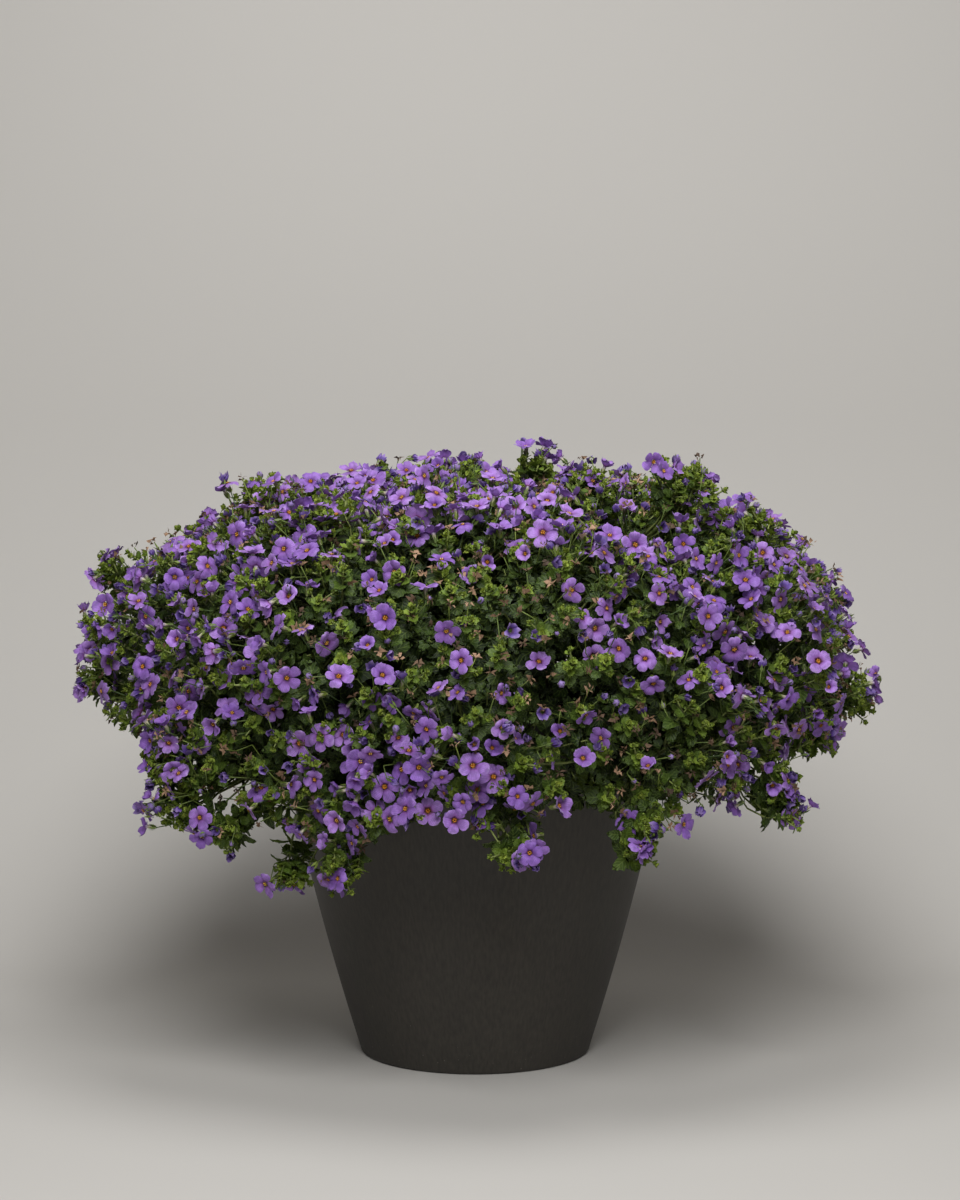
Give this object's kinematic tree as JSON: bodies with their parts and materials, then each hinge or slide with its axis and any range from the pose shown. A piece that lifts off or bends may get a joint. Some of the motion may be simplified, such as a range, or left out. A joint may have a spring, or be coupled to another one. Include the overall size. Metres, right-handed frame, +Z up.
{
  "type": "potted bacopa",
  "caption": "Flowering bacopa whose broad, rounded mound of small violet blooms and toothed leaves spills over the rim of a round, tapered, dark planter.",
  "frame": {"origin": "centre of the planter's flat underside, on the surface it stands on", "axes": "+Z up, along the planter's axis; -Y towards the side that the picture shows; +X to the right in the picture"},
  "size_m": [0.5217, 0.5286, 0.4033],
  "materials": {
    "pot": "moulded dark anthracite, matte, with faint upright streaks",
    "soil": "dark, fibrous potting compost",
    "skirt_foliage": "matte, slightly downy, older dark green toothed leaves",
    "shoulder_foliage": "matte, slightly downy, mid green toothed leaves",
    "crown_foliage": "matte, slightly downy, young yellow-green toothed leaves",
    "petals": "soft satin violet petals, paler at the edges, with a yellow throat"
  },
  "bodies": {
    "root": {"pot": "pot", "soil": "soil", "skirt_1_foliage": "skirt_foliage", "skirt_1_blooms": "petals", "skirt_2_foliage": "skirt_foliage", "skirt_2_blooms": "petals", "skirt_3_foliage": "skirt_foliage", "skirt_3_blooms": "petals", "skirt_4_foliage": "skirt_foliage", "skirt_4_blooms": "petals", "skirt_5_foliage": "skirt_foliage", "skirt_5_blooms": "petals", "skirt_6_foliage": "skirt_foliage", "skirt_6_blooms": "petals", "skirt_7_foliage": "skirt_foliage", "skirt_7_blooms": "petals", "skirt_8_foliage": "skirt_foliage", "skirt_8_blooms": "petals", "skirt_9_foliage": "skirt_foliage", "skirt_9_blooms": "petals", "skirt_10_foliage": "skirt_foliage", "skirt_10_blooms": "petals", "skirt_11_foliage": "skirt_foliage", "skirt_11_blooms": "petals", "shoulder_1_foliage": "shoulder_foliage", "shoulder_1_blooms": "petals", "shoulder_2_foliage": "shoulder_foliage", "shoulder_2_blooms": "petals", "shoulder_3_foliage": "shoulder_foliage", "shoulder_3_blooms": "petals", "shoulder_4_foliage": "shoulder_foliage", "shoulder_4_blooms": "petals", "shoulder_5_foliage": "shoulder_foliage", "shoulder_5_blooms": "petals", "shoulder_6_foliage": "shoulder_foliage", "shoulder_6_blooms": "petals", "shoulder_7_foliage": "shoulder_foliage", "shoulder_7_blooms": "petals", "crown_1_foliage": "crown_foliage", "crown_1_blooms": "petals", "crown_2_foliage": "crown_foliage", "crown_2_blooms": "petals", "crown_3_foliage": "crown_foliage", "crown_3_blooms": "petals", "crown_4_foliage": "crown_foliage", "crown_4_blooms": "petals", "crown_5_foliage": "crown_foliage", "crown_5_blooms": "petals", "crown_6_foliage": "crown_foliage", "crown_6_blooms": "petals"}
  },
  "joints": []
}
